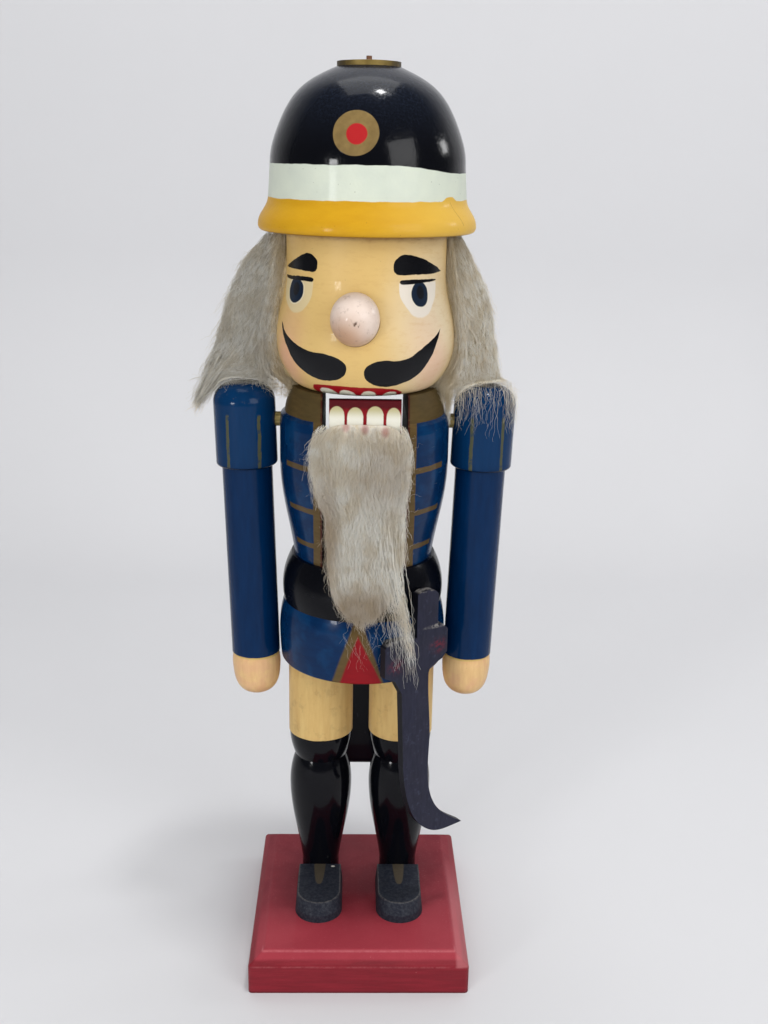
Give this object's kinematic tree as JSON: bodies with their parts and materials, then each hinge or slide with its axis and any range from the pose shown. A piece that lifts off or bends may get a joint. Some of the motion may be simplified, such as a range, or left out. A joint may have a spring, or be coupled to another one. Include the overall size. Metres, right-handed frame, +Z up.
{
  "type": "nutcracker figure",
  "caption": "Carved and turned wooden soldier nutcracker on a square base, with a hinged lever jaw, turning arms, fur hair and beard, and a flat sword.",
  "frame": {"origin": "on the underside of the base, below the axis that the body is turned on", "axes": "+Z up, -Y is the figure's front, +X is the viewer's right when facing it"},
  "size_m": [0.129, 0.1091, 0.381],
  "materials": {
    "base_paint": "red satin paint",
    "shoe_paint": "worn black paint",
    "leg_paint": "cream trousers above gloss black boots",
    "bare_wood": "bare hardwood",
    "jacket_paint": "blue gloss paint with gold trim and a black belt",
    "pin_steel": "plain steel",
    "lever_paint": "dark paint with painted teeth",
    "fur": "grey-white fur",
    "face_paint": "satin flesh paint with a painted face",
    "nose_wood": "satin pale paint",
    "helmet_paint": "black gloss paint, white band, yellow brim",
    "crown_paint": "dull gold paint",
    "sleeve_paint": "blue gloss paint, bare wooden hand",
    "sword_paint": "dark slate paint"
  },
  "bodies": {
    "figure": {"base": "base_paint", "shoe_left": "shoe_paint", "shoe_right": "shoe_paint", "leg_left": "leg_paint", "leg_right": "leg_paint", "leg_dowels_lower": "bare_wood", "leg_dowels_upper": "bare_wood", "torso": "jacket_paint", "pivot_pin": "pin_steel", "head": "face_paint", "neck_dowels": "bare_wood", "nose": "nose_wood", "helmet": "helmet_paint", "helmet_dowel": "bare_wood", "crown_disc": "crown_paint", "crown_peg": "bare_wood", "hair_left": "fur", "hair_right": "fur", "hair_back": "fur", "arm_dowel_left": "bare_wood", "arm_dowel_right": "bare_wood", "sword": "sword_paint", "sword_peg": "bare_wood"},
    "jaw_lever": {"lever": "lever_paint", "beard": "fur"},
    "left_arm": {"arm_left": "sleeve_paint"},
    "right_arm": {"arm_right": "sleeve_paint"}
  },
  "joints": [
    {"name": "jaw_hinge", "type": "hinge", "parent": "figure", "child": "jaw_lever", "pos_m": [0, 0.003, 0.2143], "axis": [1, 0, 0], "range_deg": [0, 30], "deforming": ["beard"]},
    {"name": "left_shoulder", "type": "hinge", "parent": "figure", "child": "left_arm", "pos_m": [-0.0499, 0, 0.2385], "axis": [-1, 0, 0], "range_deg": [-30, 90]},
    {"name": "right_shoulder", "type": "hinge", "parent": "figure", "child": "right_arm", "pos_m": [0.0499, 0, 0.2385], "axis": [-1, 0, 0], "range_deg": [-30, 90]}
  ]
}
